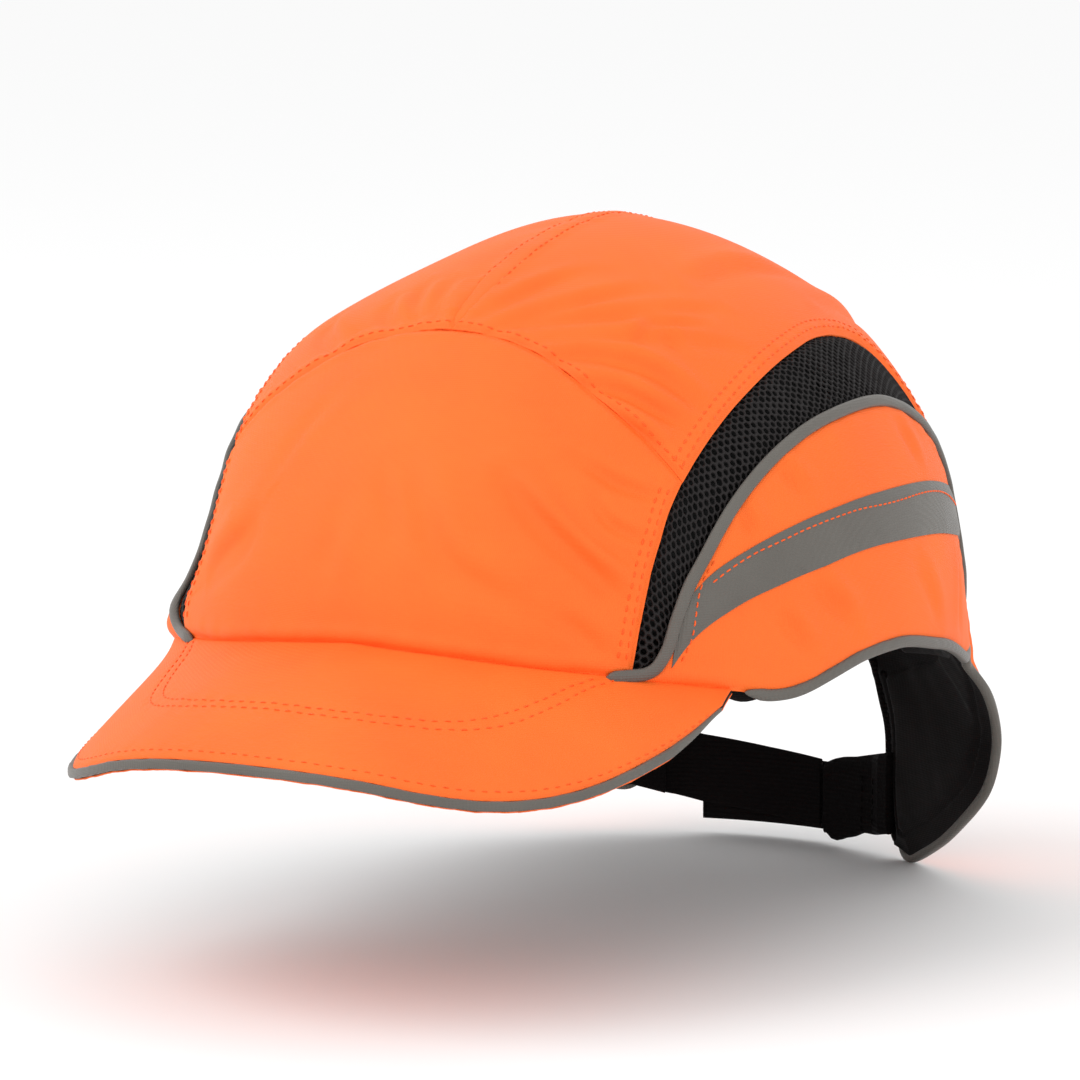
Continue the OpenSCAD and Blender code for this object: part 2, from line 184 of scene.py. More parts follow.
def nearest(points, line, normals=None, step=0.8):
    """Each point's distance from a line, signed if normals are given, and its place along the line."""
    joined = line if normals is None else np.concatenate([line, normals], 1)
    d0 = lengths(line)
    s = np.linspace(0, d0[-1], max(3, int(round(d0[-1] / step)) + 1))
    fine = np.stack([np.interp(s, d0, joined[:, k]) for k in range(joined.shape[1])], -1)
    flat = points.reshape(-1, 3)
    best, at, sign = np.full(len(flat), 1e9), np.zeros(len(flat)), np.ones(len(flat))
    across = None if normals is None else np.cross(fine[:, 3:], np.gradient(fine[:, :3], axis=0))
    for k in range(0, len(flat), 4000):
        part = flat[k:k + 4000]
        d = ((part[:, None] - fine[None, :, :3]) ** 2).sum(-1)
        j = d.argmin(1)
        best[k:k + 4000], at[k:k + 4000] = np.sqrt(d[np.arange(len(j)), j]), s[j]
        if across is not None:
            sign[k:k + 4000] = np.sign(((part - fine[j, :3]) * across[j]).sum(-1))
    shape = points.shape[:-1]
    return (best * sign).reshape(shape), at.reshape(shape)


def beside(q, distance):
    """The plan curve that runs at a distance from another, on the cap's surface."""
    p, _ = evened(on_cap(q), 2.0)
    q = to_plan(p)
    b = unit(np.cross(outward(q), np.gradient(p, axis=0)))
    return to_plan(p + distance * b)


def bell(d, width):
    return np.exp(-((d / width) ** 2))


def waves(s, seed, scale):
    """A smooth wandering number along a line, about -1 to 1."""
    r = np.random.default_rng(seed)
    out = 0
    for k in range(4):
        pace = s / scale * r.uniform(0.6, 2.4) * (1 + k * 0.7)
        out = out + np.sin(pace + r.uniform(0, 6.3)) / (1 + 0.8 * k)
    return out / 1.9


# ---------------------------------------------------------------- seam lines, left half
MESH_EDGE = plan([(-49.2, 16), (-48.2, 25), (-46.8, 36), (-44.8, 46), (-42.4, 55), (-38.6, 63), (-32.4, 71.5),
                  (-22.5, 79.5), (-9, 85.3), (7, 87.5), (22, 83), (27.5, 71), (32, 58), (35.5, 45)])
FIN_EDGE = plan([(-53, 15.2), (-47.2, 16), (-44.6, 20.5), (-43, 28), (-41, 35.5), (-38.4, 42), (-33.6, 52),
                 (-26.5, 61), (-17, 67.6), (-5, 71), (9, 71), (20, 66), (29, 57.5), (34, 46)])
FIN_BACK = plan([(34, 46), (34.9, 36), (35.5, 24)])
HEM = plan([(-53, 14.3), (-46, 13), (-39, 11.6), (-33, 10), (-28.5, 8.8), (-24, 9.3), (-19, 11.8),
            (-13, 14.8), (-4, 16.3), (8, 13), (22, 5.5), (35.6, 0)])
WING_FRONT = plan([(35.4, 0, 0), (37, -8, 5.2), (39.3, -17, 8), (40.3, -25, 8.4), (40.5, -34, 6.3),
                   (44.3, -42.4, 2.5), (52.2, -51.2, 0.2), (61.6, -58.4, 0)])
WING_BACK = plan([(35.6, 24), (41, 13), (49, 5), (58, -1), (65.5, -5), (72.2, -9.5), (70, -18.5),
                  (68.3, -27), (67.8, -41), (66.2, -56.5)])
ARCH = plan([(-90, 92), (-78, 91), (-66, 87.2), (-54.5, 78.5), (-46.5, 69.5), (-40.6, 59)])
BROW = plan([(-90, 21.6), (-77, 20.2), (-64, 17.6), (-54, 16), (-49.2, 16)])
ARCH_AT = 4.5 / 13
REAR_TOP = plan([(90, 9.6)])[0]
REAR_ARCH = plan([(72.2, -9.5), (76, -2.6), (80.5, 4.2), (85.2, 8.3), (90, 9.6)])
BAND_LOW = np.array([(0, 21.5), (13, 20), (26, 17.6), (36, 15.5), (47, 12.6), (57, 9.5), (62, 8), (66, 9),
                     (71, 12), (77, 14.8), (86, 16.2), (98, 13), (112, 5), (125, 0), (150, -5)], float)
SHELL_LOW = np.array([(0, 31), (26, 27), (47, 22), (62, 17), (71, 21), (86, 25), (98, 23), (112, 26),
                      (122, 30), (132, 27), (142, 19), (152, 15), (180, 14)], float)


def band_low(d):
    return np.interp(np.abs(d), BAND_LOW[:, 0], BAND_LOW[:, 1])


# ---------------------------------------------------------------- folds of the fabric
# Each crease: depth and width in millimetres, how proud the ridge beside it stands (its sign says on which
# side), then its bearings and heights
FRONT_CREASES = [
    (1.5, 2.6, 0.7, [(-69, 60), (-63, 51), (-58, 44), (-54, 38), (-51, 33)]),
    (0.6, 2.6, 0.5, [(-90, 62), (-87, 54), (-84, 45)]),
    (0.8, 3.4, 0.6, [(-86, 64), (-82, 55), (-78, 45), (-74, 39), (-68, 34), (-64, 31)]),
    (1.6, 4.0, -0.5, [(-114, 48), (-117, 40), (-126, 30)]),
    (0.5, 3.0, 0.5, [(-96, 54), (-96, 45), (-96, 36)]),
    (0.8, 1.8, 0.6, [(-58, 65), (-51, 59), (-44, 55)]),
    (0.7, 1.6, 0.6, [(-55, 56), (-52, 50), (-47, 46)]),
    (0.7, 1.8, -0.6, [(-60, 56), (-55, 48), (-48, 40)]),
    (0.5, 3.0, 0.5, [(-108, 76), (-112, 66), (-113, 56)]),
    (0.5, 2.4, 0.5, [(-60, 30), (-56, 25), (-53, 20)]),
]
CROWN_CREASES = [
    (1.2, 2.2, 0.7, [(-65, 86), (-58, 87), (-51, 86), (-42, 82), (-36, 75)]),
    (1.2, 2.0, 0.7, [(-59, 81), (-50, 79), (-44, 75), (-39, 71)]),
    (0.9, 1.8, 0.7, [(-52, 74), (-47, 70), (-43, 66)]),
    (0.8, 1.7, 0.7, [(-45, 90), (-42, 93), (-37, 93), (-29, 92)]),
    (0.6, 1.6, 0.6, [(-39, 92), (-37, 87)]),
    (0.7, 2.2, 0.7, [(-80, 92), (-64, 94), (-44, 95), (-22, 95)]),
    (0.7, 2.2, 0.7, [(-78, 93), (-62, 97), (-40, 100)]),
    (0.6, 2.2, 0.7, [(-84, 94), (-75, 100), (-58, 104)]),
    (0.6, 2.2, 0.7, [(-71, 89), (-54, 90), (-34, 89), (-22, 86)]),
    (0.9, 2.6, -0.8, [(-100, 92), (-108, 96), (-116, 100)]),
    (1.0, 2.6, -0.8, [(-104, 91), (-113, 93), (-122, 96)]),
    (0.8, 2.4, -0.8, [(-96, 93), (-101, 97), (-106, 101)]),
    (1.2, 3.0, -0.8, [(-120, 85), (-132, 87), (-141, 89)]),
    (0.8, 3.0, 0.8, [(-20, 101), (6, 103), (30, 99)]),
    (0.7, 3.0, 0.8, [(20, 92), (44, 84), (56, 70)]),
    (0.8, 3.6, 0.6, [(90, 84), (84, 62), (80, 42)]),
    (0.7, 3.2, -0.6, [(120, 70), (112, 52), (108, 34)]),
    (0.7, 3.0, 0.6, [(60, 50), (64, 34), (66, 18)]),
]
SIDE_CREASES = [
    (1.0, 2.2, 0.7, [(-21, 34), (-18, 29), (-14, 23)]),
    (0.8, 2.0, 0.7, [(-28, 28), (-24, 21), (-22, 18)]),
    (0.8, 1.8, 0.7, [(-32, 54), (-31, 49), (-30, 46)]),
    (0.7, 2.0, 0.7, [(-25, 62), (-22, 58), (-20, 54)]),
    (0.7, 2.6, 0.6, [(2, 34), (6, 26), (8, 18)]),
    (0.6, 2.4, -0.6, [(24, 32), (20, 22), (18, 12)]),
    (0.6, 2.4, 0.6, [(10, 66), (12, 60), (12, 55)]),
    (0.7, 2.4, 0.7, [(-160, 34), (-163, 27), (-166, 20)]),
]


CREASE_SCALE = 1.7


def creases(world, listed):
    """How far the creases push the fabric out or in at each point."""
    off = np.zeros(world.shape[:-1])
    for listed_depth, width, ridge, path in listed:
        depth = CREASE_SCALE * listed_depth
        q = stretch(plan(path), n=24)
        s, at = nearest(world, on_cap(q), outward(q))
        whole = lengths(on_cap(q))[-1]
        fade = np.sin(np.pi * np.clip(0.06 + 0.9 * at / whole, 0, 1)) ** 0.8
        fade = fade * bell(np.maximum(0, abs(s) - 12), 4)
        off -= depth * fade * bell(s, width)
        off += abs(ridge) * depth * fade * bell(s - np.sign(ridge) * 1.9 * width, 1.3 * width)
    return off


# ---------------------------------------------------------------- meshes
def new_mesh(name, verts, faces, material, body="cap", slot=None, slumps=True):
    verts = settled(verts) if slumps else np.asarray(verts, float)
    mesh = bpy.data.meshes.new(name)
    mesh.from_pydata((verts * 0.001).tolist(), [], [tuple(map(int, f)) for f in faces])
    mesh.validate()
    mesh.shade_smooth()
    obj = bpy.data.objects.new(name, mesh)
    bpy.context.scene.collection.objects.link(obj)
    obj.data.materials.append(material)
    if body:
        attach(obj, body)
    return obj


def grid_faces(nu, nv, base=0, closed_v=False):
    w = nv if closed_v else nv + 1
    corners = [(i * w, (i + 1) * w, j, (j + 1) % w) for i in range(nu) for j in range(nv)]
    return [(base + a + c, base + a + d, base + b + d, base + b + c) for a, b, c, d in corners]


def closed_sheet(outer, inner, flipped=False):
    """Vertices and faces of a solid between two grids of points."""
    nu, nv = outer.shape[0] - 1, outer.shape[1] - 1
    w, n = nv + 1, (nu + 1) * (nv + 1)
    faces = grid_faces(nu, nv)
    faces += [(a + n, d + n, c + n, b + n) for a, b, c, d in grid_faces(nu, nv)]
    rim = [(j + 1, j) for j in range(nv)] + [(nu * w + j, nu * w + j + 1) for j in range(nv)]
    rim += [(i * w, i * w + w) for i in range(nu)] + [(i * w + w + nv, i * w + nv) for i in range(nu)]
    faces += [(a, b, b + n, a + n) for a, b in rim]
    if flipped:
        faces = [f[::-1] for f in faces]
    return np.concatenate([outer.reshape(-1, 3), inner.reshape(-1, 3)]), faces


def clustered(n, k=0.7):
    """Numbers from 0 to 1 that lie closer together at both ends."""
    t = np.linspace(0, 1, n + 1)
    return t - k * np.sin(2 * np.pi * t) / (2 * np.pi)


def swept(points, normals, profile, taper=0.0, scale=None):
    """A bar of the profile's (across, out) shape along a line. Its ends close over the taper's length."""
    scale = np.ones(len(points)) if scale is None else scale
    p, _ = evened(np.concatenate([points, normals, scale[:, None]], 1), 1.2)
    p, m, scale = p[:, :3], unit(p[:, 3:6]), p[:, 6]
    d = lengths(p)
    t = unit(np.gradient(p, axis=0))
    b = unit(np.cross(t, m))
    m = np.cross(b, t)
    size = scale if not taper else scale * np.sqrt(np.clip(np.minimum(d, d[-1] - d) / taper, 0.02, 1))
    prof = np.asarray(profile, float)
    k = len(prof)
    rings = [p[i] + size[i] * (prof[:, :1] * b[i] + prof[:, 1:] * m[i]) for i in range(len(p))]
    middle = prof.mean(0)
    ends = [p[i] + size[i] * (middle[0] * b[i] + middle[1] * m[i]) for i in (0, -1)]
    n = len(p)
    faces = grid_faces(n - 1, k, closed_v=True)
    faces += [(n * k, (j + 1) % k, j) for j in range(k)]
    faces += [(n * k + 1, (n - 1) * k + j, (n - 1) * k + (j + 1) % k) for j in range(k)]
    return np.concatenate(rings + [np.array(ends)]), faces


def oval(across, out, shift=(0, 0), k=14, square=0.85):
    """A rounded closed profile."""
    t = np.linspace(0, 2 * np.pi, k, endpoint=False)
    c, s = np.cos(t), np.sin(t)
    x, y = np.sign(c) * abs(c) ** square, np.sign(s) * abs(s) ** square
    return np.stack([shift[0] + across * x, shift[1] + out * y], -1)


def side_frames(q, side, off=0.0):
    """Points and outward normals along a plan curve, on the left or the right half."""
    n = outward(q)
    return mirrored(on_cap(q, off), side), n if side > 0 else n * [-1, 1, 1]


def tree_of(objects):
    verts, faces = [], []
    for o in objects:
        base = len(verts)
        verts += [v.co * 1000 for v in o.data.vertices]
        faces += [[base + i for i in f.vertices] for f in o.data.polygons]
    return BVHTree.FromPolygons(verts, faces)


def stitches(name, points, normals, on, pitch=2.7, long=1.8, radius=0.19, material=None, slot="hi_vis_fabric",
             body="cap", slumps=True):
    """Thread dashes lying on the objects, along a line of points."""
    tree = on if isinstance(on, BVHTree) else tree_of(on)
    p, _ = evened(np.concatenate([points, normals], 1), pitch / 4)
    m, p = unit(p[:, 3:]), settled(p[:, :3]) if slumps else p[:, :3]
    verts, faces = [], []
    steps = max(2, int(round(4 * long / pitch)))
    for i in range(0, len(p) - steps, 4):
        spots = []
        for j in range(i, i + steps + 1):
            hit, way, _, _ = tree.ray_cast(Vector(p[j] + 7 * m[j]), Vector(-m[j]), 14)
            if hit is not None:
                spots.append((np.array(hit), np.array(way) * (1 if np.dot(way, m[j]) > 0 else -1)))
        if len(spots) < steps + 1:
            continue
        lift = 0.12 - 0.45 * (2 * np.linspace(0, 1, steps + 1) - 1) ** 4
        base, line = len(verts), np.array([h + u * d for (h, u), d in zip(spots, lift)])
        t = unit(np.gradient(line, axis=0))
        for k, (h, u) in enumerate(spots):
            b = unit(np.cross(t[k], u))
            up = np.cross(b, t[k])
            for a in np.linspace(0, 2 * np.pi, 6, endpoint=False):
                verts.append(line[k] + radius * (np.cos(a) * b + np.sin(a) * up))
        faces += grid_faces(steps, 6, base, closed_v=True)
        faces += [tuple(range(base + 5, base - 1, -1)), tuple(range(base + 6 * steps, base + 6 * steps + 6))]
    return new_mesh(name, verts, faces, material or THREAD, body=body, slot=slot, slumps=False)


# ---------------------------------------------------------------- materials
class Nodes:
    """A node material being put together."""

    def __init__(self, name):
        self.mat = bpy.data.materials.new(name)
        self.mat.use_nodes = True
        self.tree = self.mat.node_tree
        self.shader = self.tree.nodes["Principled BSDF"]

    def add(self, kind, **values):
        node = self.tree.nodes.new(kind)
        for key, value in values.items():
            if hasattr(node, key) and not key[0].isupper():
                setattr(node, key, value)
            else:
                node.inputs[key.replace("_", " ")].default_value = value
        return node

    def link(self, a, b):
        self.tree.links.new(a, b)


def cloth_material(name, color, dark, rough=0.75, thread=0.0005, depth=0.25, sheen=0.0, mottle=24,
                   axes=("X", "Z"), gloss=0.25):
    """Woven cloth: crossed threads of a given pitch in metres, a slow drift of shade and a soft sheen."""
    n = Nodes(name)
    pos = n.add("ShaderNodeTexCoord")
    slow = n.add("ShaderNodeTexNoise", Scale=mottle, Detail=5.0, Roughness=0.6)
    n.link(pos.outputs["Object"], slow.inputs["Vector"])
    ramp = n.add("ShaderNodeValToRGB")
    ramp.color_ramp.elements[0].position, ramp.color_ramp.elements[1].position = 0.28, 0.72
    ramp.color_ramp.elements[0].color, ramp.color_ramp.elements[1].color = (*dark, 1), (*color, 1)
    n.link(slow.outputs["Fac"], ramp.inputs["Fac"])
    n.link(ramp.outputs["Color"], n.shader.inputs["Base Color"])
    total = n.add("ShaderNodeTexNoise", Scale=1400.0, Detail=3.0).outputs["Fac"]
    n.link(pos.outputs["Object"], total.node.inputs["Vector"])
    for axis in axes:
        wave = n.add("ShaderNodeTexWave", bands_direction=axis, Scale=0.314 / thread, Distortion=0.5,
                     Detail=1.0)
        n.link(pos.outputs["Object"], wave.inputs["Vector"])
        both = n.add("ShaderNodeMath", operation="ADD")
        n.link(total, both.inputs[0])
        n.link(wave.outputs["Fac"], both.inputs[1])
        total = both.outputs[0]
    bump = n.add("ShaderNodeBump", Strength=depth, Distance=0.4 * thread)
    n.link(total, bump.inputs["Height"])
    n.link(bump.outputs["Normal"], n.shader.inputs["Normal"])
    worn = n.add("ShaderNodeMapRange")
    worn.inputs["To Min"].default_value, worn.inputs["To Max"].default_value = rough - 0.08, rough + 0.08
    n.link(slow.outputs["Fac"], worn.inputs["Value"])
    n.link(worn.outputs["Result"], n.shader.inputs["Roughness"])
    n.shader.inputs["Sheen Weight"].default_value = sheen
    n.shader.inputs["Sheen Roughness"].default_value = 0.4
    n.shader.inputs["Specular IOR Level"].default_value = gloss
    return n.mat


ORANGE = cloth_material("HiVisOrange", (1.0, 0.17, 0.022), (0.95, 0.14, 0.017), rough=0.6, thread=0.0004)
THREAD = cloth_material("OrangeThread", (1.0, 0.14, 0.018), (0.86, 0.105, 0.014), rough=0.5, mottle=400,
                        thread=0.0003)
GREY = cloth_material("ReflectiveGrey", (0.14, 0.13, 0.115), (0.11, 0.10, 0.088), rough=0.42, sheen=0.05,
                      thread=0.0006)
MESH = cloth_material("VentMesh", (0.016, 0.013, 0.013), (0.009, 0.007, 0.007), rough=0.6, thread=0.0003)
LINING = cloth_material("Lining", (0.012, 0.010, 0.010), (0.005, 0.004, 0.004), rough=0.85, sheen=0.05,
                        thread=0.0006, gloss=0.1)
WEBBING = cloth_material("Webbing", (0.007, 0.005, 0.005), (0.004, 0.003, 0.003), rough=0.8, thread=0.0012,
                         depth=0.6, axes=("Z",), gloss=0.08)
PLASTIC = cloth_material("ShellPlastic", (0.005, 0.005, 0.005), (0.004, 0.004, 0.004), rough=0.5, depth=0.02,
                         gloss=0.12)
FOAM = cloth_material("Foam", (0.035, 0.035, 0.037), (0.022, 0.022, 0.024), rough=0.95, depth=0.5,
                      thread=0.0014)


# ---------------------------------------------------------------- fabric panels
def panel(name, low, high, start, end, nu, nv, side, node, material=ORANGE, slot="hi_vis_fabric",
          listed=(), pucker=0.0, thick=0.7, roll=0.9, base=0.0, inset=0.0, shape=None, seed=1):
    """A sewn panel. Its rim rolls into the seams, beside which the fabric puckers."""
    u, v = inset + (1 - 2 * inset) * clustered(nu), inset + (1 - 2 * inset) * clustered(nv)
    q = net(low, high, start, end, u[:, None], v[None, :])
    flat = on_cap(q)
    rims = [flat[0], flat[-1], flat[:, 0], flat[:, -1]]
    found = [nearest(flat, r) for r in rims]
    edge = np.min([f[0] for f in found], axis=0)
    off = base - roll * bell(edge, 1.1) + 0.3 * roll * bell(edge - 3.0, 1.6)
    for k, (d, s) in enumerate(found):
        off = off + pucker * waves(s, seed + k, 2.6) * bell(d - 2.4, 2.6)
    world = mirrored(flat, side)
    off = off + creases(world, listed)
    off = np.where(off < -0.6, -0.6 - 0.6 * np.tanh((-0.6 - off) / 0.6), off)
    deep = off - thick
    if shape is not None:
        off, deep = shape(off, deep, edge, u[:, None], v[None, :], flat)
    outer, inner = mirrored(on_cap(q, off), side), mirrored(on_cap(q, deep), side)
    obj = new_mesh(name, *closed_sheet(outer, inner, side < 0), material, slot=slot)
    if material == ORANGE:
        obj.data.materials.append(LINING)
        for face in obj.data.polygons[nu * nv:2 * nu * nv]:
            face.material_index = 1
    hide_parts(node)
    return obj


def seam_stitches(name, q, side, on, **more):
    p, n = side_frames(q, side)
    return stitches(name, p, n, on, **more)


def front_panel():
    brow = np.concatenate([flip(BROW), BROW[1:]])
    arch = np.concatenate([flip(ARCH), ARCH[1:]])
    sides = stretch(MESH_EDGE, 0, ARCH_AT, 6)
    obj = panel("front_cover", brow, arch, sides * [-1, 1, 1], sides, 190, 110, 1, "front_panel",
                listed=FRONT_CREASES, pucker=0.16, seed=3)
    tree = tree_of([obj])
    for side, word in ((1, "left"), (-1, "right")):
        for k, away in enumerate((2.2, 4.2)):
            q = beside(stretch(MESH_EDGE, 0.03, ARCH_AT - 0.02, 40), away)
            seam_stitches(f"front_{word}_stitch_{k}", q, side, tree)
    return obj


def crown_edge():
    return np.concatenate([stretch(MESH_EDGE, ARCH_AT, 1, 14), FIN_BACK[1:2], WING_BACK[:6]])


def crown_panel(side, word):
    obj = panel(f"crown_cover_{word}", crown_edge(), np.array([ARCH[0], REAR_TOP]), ARCH[::-1], REAR_ARCH,
                230, 110, side, f"crown_panel_{word}", listed=CROWN_CREASES, pucker=0.18, seed=11)
    tree = tree_of([obj])
    arch = beside(stretch(ARCH, 0.02, 0.97, 50), 1.8)
    seam_stitches(f"arch_stitch_{word}", arch, side, tree)
    for k, away in enumerate((2.0, 4.4)):
        q = beside(stretch(MESH_EDGE, ARCH_AT + 0.02, 0.97, 70), away)
        seam_stitches(f"crown_{word}_stitch_{k}", q, side, tree)
    return obj


def crown_tape():
    y0, y1 = ARCH[0][1] - 0.004, REAR_TOP[1] - 0.01
    t = np.linspace(y0, y1, 9)
    wide = 0.031 * np.array([0.55, 1, 1, 1, 1, 1, 1, 1, 0.8])
    low, high = np.stack([wide, t, 0 * t], -1), np.stack([-wide, t, 0 * t], -1)

    def tucked(off, deep, edge, u, v, flat):
        end = bell(u * 230, 5)
        wavy = 0.12 * waves(u * 230 + 0 * v, 5, 5.0)
        return off - 1.4 * end + wavy, deep - 1.4 * end

    start, end = np.array([low[0], high[0]]), np.array([low[-1], high[-1]])
    obj = panel("crown_tape", low, high, start, end, 220, 16, 1, "crown_seam_tape",
                base=0.42, thick=0.9, roll=0.42, shape=tucked)
    tree = tree_of([obj])
    for k, x in enumerate((0.022, -0.022)):
        y = np.linspace(y0 + 0.02, y1 - 0.02, 120)
        q = np.stack([x + 0 * y, y, 0 * y], -1)
        stitches(f"crown_tape_stitch_{k}", on_cap(q), outward(q), tree)


def side_panel(side, word):
    end = np.concatenate([HEM[11:], FIN_BACK[::-1]])
    return panel(f"side_cover_{word}", HEM, FIN_EDGE, np.array([HEM[0], FIN_EDGE[0]]), end, 180, 90,
                 side, f"side_panel_{word}", listed=SIDE_CREASES, pucker=0.16, seed=23)


def band(side, word, under):
    """The reflective tape over the side panel, with its two orange seams."""
    low = plan([(-43.8, 17), (-40.2, 24), (-33.5, 30.5), (-25, 35), (-15.5, 38.3), (-2, 40), (10, 39),
                (22, 36), (33.6, 32)])
    high = plan([(-42.2, 31), (-37.5, 38), (-30.5, 43.5), (-22, 47.8), (-12, 50.7), (0, 52), (12, 51.3),
                 (23, 48.5), (33.2, 44.5)])
    start, end = np.array([low[0], high[0]]), np.array([low[-1], high[-1]])
    obj = panel(f"reflective_tape_{word}", low, high, start, end, 170, 30, side, f"reflective_band_{word}",
                material=GREY, slot="reflective_tape", thick=0.9, base=0.66, roll=0.3, listed=SIDE_CREASES,
                pucker=0.06, seed=23)
    tree = tree_of([obj])
    line = stretch(plan([(-37.6, 36), (-32, 41), (-24, 45), (-12, 48.5), (2, 49), (23, 45), (32, 41)]), n=60)
    seam_stitches(f"tape_stitch_{word}", line, side, tree, pitch=2.2, long=1.8, radius=0.22)
    cross = stretch(plan([(-37, 41), (-39.6, 34), (-41.0, 23), (-42.9, 17)]), n=40)
    seam_stitches(f"tape_cross_stitch_{word}", cross, side, [obj, under], pitch=2.2, long=1.8, radius=0.22)


def piping(side, word):
    """The long reflective piping over the side panel, and the binding along the hem and the wing."""
    q = stretch(np.concatenate([FIN_EDGE, FIN_BACK[1:2], WING_BACK[:6]]), 0, 0.992, n=260)
    p, n = side_frames(q, side)
    along_it = lengths(p)
    p = p + n * (0.35 * waves(along_it, 31 + side, 9.0)[:, None] * (1 if side < 0 else 0.35))
    obj = new_mesh(f"long_piping_{word}", *swept(p, n, oval(1.55, 1.05, (0, 0.25)), 2.5), GREY,
                   slot="reflective_piping")
    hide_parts(f"fin_piping_{word}")
    q = stretch(np.concatenate([HEM[3:11], WING_FRONT, WING_BACK[-1:]]), n=260)
    p, n = side_frames(q, side)
    obj = new_mesh(f"hem_binding_{word}", *swept(p, n, oval(1.5, 1.25, (0.2 * side, -0.5)), 5.0), GREY,
                   slot="reflective_piping")
    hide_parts(f"hem_piping_{word}")


# ---------------------------------------------------------------- nape wings
def wing(side, word):
    start, end = np.array([WING_FRONT[0], WING_BACK[0]]), np.array([WING_FRONT[-1], WING_BACK[-1]])
    obj = panel(f"wing_cover_{word}", WING_FRONT, WING_BACK, start, end, 90, 70, side, f"nape_wing_{word}",
                pucker=0.15, seed=41)

    def stuffed(off, deep, edge, u, v, flat):
        swell = 1 - np.exp(-((edge / 5.0) ** 2))
        soft = 0.5 * waves(flat[..., 2] + 0.6 * flat[..., 1], 7, 9.0)
        soft = soft + 0.4 * waves(flat[..., 2] * 0.5 - flat[..., 1], 9, 6.0)
        rumple = soft * bell(flat[..., 2] + 2, 14)
        channel = 0.9 * bell(edge - 5.5, 0.8)
        return off, -1.7 - 3.3 * swell * (0.85 + 0.15 * soft) - 1.3 * rumple * swell + channel

    pad = panel(f"wing_pad_{word}", WING_FRONT, WING_BACK, start, end, 90, 80, side, f"wing_lining_{word}",
                material=LINING, slot="padded_lining", base=-0.85, roll=0, inset=0.0, shape=stuffed)
    return obj, pad


def wing_stitching(side, word, pad):
    """Two rows of black stitches inside the wing's bound inner edge."""
    tree = tree_of([pad])
    for k, away in enumerate((2.4, 5.6)):
        q = beside(stretch(WING_BACK[4:], 0.15, 0.97, 40), -away)
        p, n = side_frames(q, side, -9.0)
        stitches(f"wing_inner_stitch_{word}_{k}", p, -n, tree, material=WEBBING, slot="padded_lining",
                 radius=0.3)


def rear_binding():
    q = stretch(np.concatenate([WING_BACK[:5:-1], REAR_ARCH]), n=110)
    left, nl = side_frames(q, 1, -0.8)
    right, nr = side_frames(q[::-1], -1, -0.8)
    p, n = np.concatenate([left, right[1:]]), np.concatenate([nl, nr[1:]])
    obj = new_mesh("opening_binding", *swept(p, n, oval(1.5, 1.7, (-0.7, 0)), 2.0), WEBBING,
                   slot="black_webbing")
    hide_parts("rear_binding")


# ---------------------------------------------------------------- mesh vents
def vent(side, word):
    """Warp knitted mesh: a lattice of six sided cells, each with a round hole, between the panels."""
    low = np.concatenate([FIN_EDGE[1:2], stretch(FIN_EDGE, 2 / 13, 1, 11), FIN_BACK[1:2]])
    ends = (np.array([low[0], MESH_EDGE[0]]), np.array([low[-1], MESH_EDGE[-1]]))
    t = np.linspace(0, 1, 240)
    rows = on_cap(net(low, MESH_EDGE, *ends, t[:, None], np.array([[0.0, 0.5, 1.0]])))
    s, wide = lengths(rows[:, 1]), np.linalg.norm(rows[:, 2] - rows[:, 0], axis=1)
    pitch, k = 1.95, 12
    turn = np.linspace(0, 2 * np.pi, k, endpoint=False) + np.pi / 6
    hexagon = 0.5 * pitch / np.cos((turn - np.pi / 6 + np.pi / 6) % (np.pi / 3) - np.pi / 6)
    cells = []
    for i, x in enumerate(np.arange(0, s[-1], pitch * 0.866)):
        half = np.interp(x, s, wide) / 2 + 0.2
        for y in np.arange(-30 * pitch, 30 * pitch, pitch) + (i % 2) * pitch / 2:
            if abs(y) < half:
                cells.append((x, y))
    c = np.array(cells)
    spread = np.array([[np.cos(a), np.sin(a)] for a in turn])
    rim = c[:, None] + hexagon[None, :, None] * spread
    r = np.random.default_rng(5)
    hole = c[:, None] + (0.29 + 0.035 * r.standard_normal((len(c), 1, 1))) * pitch * spread * [1.0, 1.12]

    def place(xy, off):
        x = np.clip(xy[..., 0], 0, s[-1])
        u = np.interp(x, s, t)
        v = 0.5 + xy[..., 1] / np.maximum(np.interp(x, s, wide), 1.0)
        inside = np.clip(np.interp(x, s, wide) / 2 - abs(xy[..., 1]), 0, None)
        sag = -0.3 * (1 - np.clip(abs(v - 0.5) * 2, 0, 1) ** 2) - 0.95 * bell(inside, 1.7)
        return mirrored(on_cap(net(low, MESH_EDGE, *ends, u, v), off + sag), side)

    def cell(x, y):
        return round(x / (0.866 * pitch)), round(2 * y / pitch)

    m, n = len(c), len(c) * k
    held = {cell(x, y) for x, y in cells}
    verts = np.concatenate([place(rim, -0.35).reshape(-1, 3), place(hole, -0.65).reshape(-1, 3),
                            place(rim, -1.0).reshape(-1, 3)])
    faces = []
    for i in range(m):
        for j in range(k):
            a, b = i * k + j, i * k + (j + 1) % k
            faces += [(a, b, b + n, a + n), (a + n, b + n, b + 2 * n, a + 2 * n)]
            x, y = c[i] + pitch * spread[(j + j % 2) % k]
            if cell(x, y) not in held:
                faces.append((b, a, a + 2 * n, b + 2 * n))
    if side > 0:
        faces = [f[::-1] for f in faces]
    obj = new_mesh(f"vent_mesh_{word}", verts, faces, MESH, slot="vent_mesh")
    joined = bmesh.new()
    joined.from_mesh(obj.data)
    bmesh.ops.remove_doubles(joined, verts=joined.verts, dist=0.00003)
    joined.to_mesh(obj.data)
    joined.free()
    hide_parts(f"mesh_vent_{word}")


